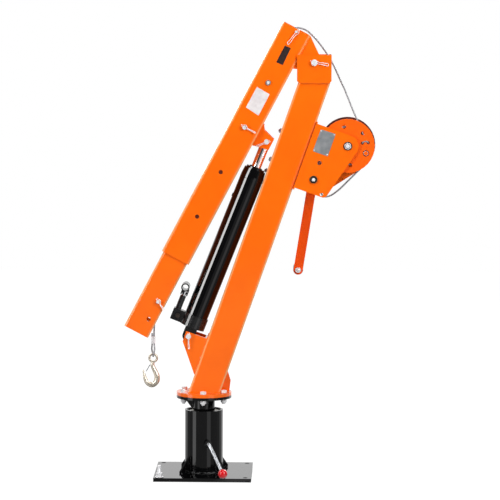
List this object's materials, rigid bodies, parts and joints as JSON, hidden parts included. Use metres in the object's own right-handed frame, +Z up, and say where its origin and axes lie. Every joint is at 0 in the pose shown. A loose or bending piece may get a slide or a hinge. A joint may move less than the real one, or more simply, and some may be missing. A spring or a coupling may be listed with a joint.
{
  "type": "pickup truck crane",
  "caption": "Folding pickup truck crane: swivel base, leaning mast, telescopic boom lifted by a hand-pumped jack, hand winch with steel cable and a latched hook.",
  "frame": {"origin": "middle of the base plate's underside, on the swivel's axis", "axes": "+Z up along the swivel axis, +X towards the winch side, +Y away from the viewer of the picture"},
  "size_m": [0.7454, 0.3848, 1.3593],
  "materials": {
    "orange_paint": "gloss",
    "black_paint": "gloss",
    "zinc": "satin",
    "dark_steel": "satin",
    "chrome": "polished",
    "hook_zinc": "satin",
    "cable_steel": "satin",
    "red_plastic": "gloss",
    "black_grip": "matte",
    "pale_bush": "matte"
  },
  "bodies": {
    "base": {"base_plate": "black_paint", "base_column": "black_paint", "column_bush": "pale_bush", "anchor_stud": "zinc"},
    "lock_lever": {"lock_lever": "zinc", "lock_knob": "red_plastic"},
    "mast": {"swivel_post": "black_paint", "mast_disc": "orange_paint", "disc_bolt_1": "zinc", "disc_bolt_2": "zinc", "disc_bolt_3": "zinc", "disc_bolt_4": "zinc", "disc_bolt_5": "zinc", "disc_bolt_6": "zinc", "mast_tube": "orange_paint", "mast_gusset": "orange_paint", "mast_jack_lug": "orange_paint", "jack_foot_pin": "zinc", "head_bracket": "orange_paint", "boom_pivot_pin": "zinc", "winch_frame": "orange_paint", "winch_bolt_1": "zinc", "winch_bolt_2": "zinc", "winch_bolt_3": "zinc", "drum_shaft": "zinc", "idler_axle": "zinc", "cable_to_boom": "cable_steel", "cable_slack": "cable_steel"},
    "pawl": {"pawl": "dark_steel"},
    "drum": {"winch_drum": "orange_paint", "drum_gear": "dark_steel", "cable_winding": "cable_steel"},
    "idler": {"idler_gear": "dark_steel"},
    "crank": {"crank_shaft": "zinc", "ratchet_wheel": "dark_steel", "crank_arm": "orange_paint"},
    "grip": {"crank_grip": "black_grip"},
    "boom": {"boom_tube": "orange_paint", "boom_pivot_lug": "orange_paint", "boom_jack_lug": "orange_paint", "jack_head_pin_near": "zinc", "jack_head_pin_far": "zinc", "rear_roller_pin": "zinc", "stop_bolt": "zinc", "lock_pin": "zinc", "cable_in_boom": "cable_steel"},
    "rear_roller": {"rear_roller": "zinc"},
    "extension": {"extension_tube": "orange_paint", "tip_roller_pin": "zinc"},
    "tip_roller": {"tip_roller": "zinc"},
    "load_line": {"cable_drop": "cable_steel", "ferrule": "zinc", "hook": "hook_zinc"},
    "hook_latch": {"hook_latch": "zinc"},
    "jack": {"jack_cylinder": "black_paint", "jack_base": "black_paint"},
    "pump_lever": {"pump_lever": "black_paint"},
    "pump_piston": {"pump_piston": "chrome"},
    "release_valve": {"release_valve": "dark_steel"},
    "ram": {"jack_ram": "chrome"}
  },
  "joints": [
    {"name": "lock_screw_turn", "type": "hinge", "parent": "base", "child": "lock_lever", "pos_m": [0.01497, -0.06751, 0.1014], "axis": [0.2164, -0.9763, 0], "range_deg": [0, 150]},
    {"name": "swivel", "type": "hinge", "parent": "base", "child": "mast", "pos_m": [0, 0, 0.2], "axis": [0, 0, 1], "continuous": true},
    {"name": "boom_lift", "type": "hinge", "parent": "mast", "child": "boom", "pos_m": [0.32512, 0, 1.238], "axis": [0, 1, 0], "range_deg": [0, 104.25], "deforming": ["cable_to_boom"]},
    {"name": "boom_extend", "type": "slide", "parent": "boom", "child": "extension", "axis": [-0.4648, 0, -0.8854], "range_m": [0, 0.3]},
    {"name": "rear_roller_spin", "type": "hinge", "parent": "boom", "child": "rear_roller", "pos_m": [0.27146, 0, 1.32942], "axis": [0, 1, 0], "continuous": true},
    {"name": "tip_roller_spin", "type": "hinge", "parent": "extension", "child": "tip_roller", "pos_m": [-0.13634, 0, 0.52556], "axis": [0, 1, 0], "continuous": true},
    {"name": "hook_hang", "type": "hinge", "parent": "extension", "child": "load_line", "pos_m": [-0.13634, 0, 0.52556], "axis": [0, 1, 0], "range_deg": [-104.75, 0]},
    {"name": "latch_swing", "type": "hinge", "parent": "load_line", "child": "hook_latch", "pos_m": [-0.16124, 0, 0.32856], "axis": [0, -1, 0], "range_deg": [0, 25], "stiffness_Nm_per_rad": 0.01, "springref_deg": -22.92},
    {"name": "jack_tilt", "type": "hinge", "parent": "mast", "child": "jack", "pos_m": [-0.04633, 0, 0.42159], "axis": [0, -1, 0], "range_deg": [0, 11.59]},
    {"name": "ram_extend", "type": "slide", "parent": "jack", "child": "ram", "axis": [0.3685, 0, 0.9296], "range_m": [0, 0.4]},
    {"name": "pump_stroke", "type": "hinge", "parent": "jack", "child": "pump_lever", "pos_m": [-0.05945, 0.015, 0.54727], "axis": [-0.9296, 0, 0.3685], "range_deg": [0, 28]},
    {"name": "pump_piston_slide", "type": "slide", "parent": "jack", "child": "pump_piston", "axis": [0.3685, 0, 0.9296], "range_m": [0, 0.0075]},
    {"name": "release_valve_turn", "type": "hinge", "parent": "jack", "child": "release_valve", "pos_m": [-0.07809, -0.025, 0.48258], "axis": [0, -1, 0], "range_deg": [0, 180]},
    {"name": "drum_spin", "type": "hinge", "parent": "mast", "child": "drum", "pos_m": [0.42553, 0, 0.99297], "axis": [0, 1, 0], "continuous": true},
    {"name": "idler_spin", "type": "hinge", "parent": "mast", "child": "idler", "pos_m": [0.34209, 0.035, 0.94253], "axis": [0, 1, 0], "continuous": true},
    {"name": "crank_spin", "type": "hinge", "parent": "mast", "child": "crank", "pos_m": [0.32478, 0.06, 0.89297], "axis": [0, 1, 0], "continuous": true},
    {"name": "grip_spin", "type": "hinge", "parent": "crank", "child": "grip", "pos_m": [0.2802, 0.13, 0.61148], "axis": [0, 1, 0], "continuous": true},
    {"name": "pawl_lift", "type": "hinge", "parent": "mast", "child": "pawl", "pos_m": [0.37177, 0.055, 0.89358], "axis": [0, 1, 0], "range_deg": [0, 30], "stiffness_Nm_per_rad": 0.02, "springref_deg": -17.19}
  ],
  "couplings": [
    {"joint": "hook_hang", "follows": "boom_lift", "ratio": -1},
    {"joint": "jack_tilt", "follows": "boom_lift", "ratio": 0.11097},
    {"joint": "ram_extend", "follows": "boom_lift", "m_per_rad": 0.21322},
    {"joint": "pump_piston_slide", "follows": "pump_stroke", "m_per_rad": 0.0144},
    {"joint": "idler_spin", "follows": "drum_spin", "ratio": -3.3333},
    {"joint": "crank_spin", "follows": "drum_spin", "ratio": 6.3889}
  ]
}
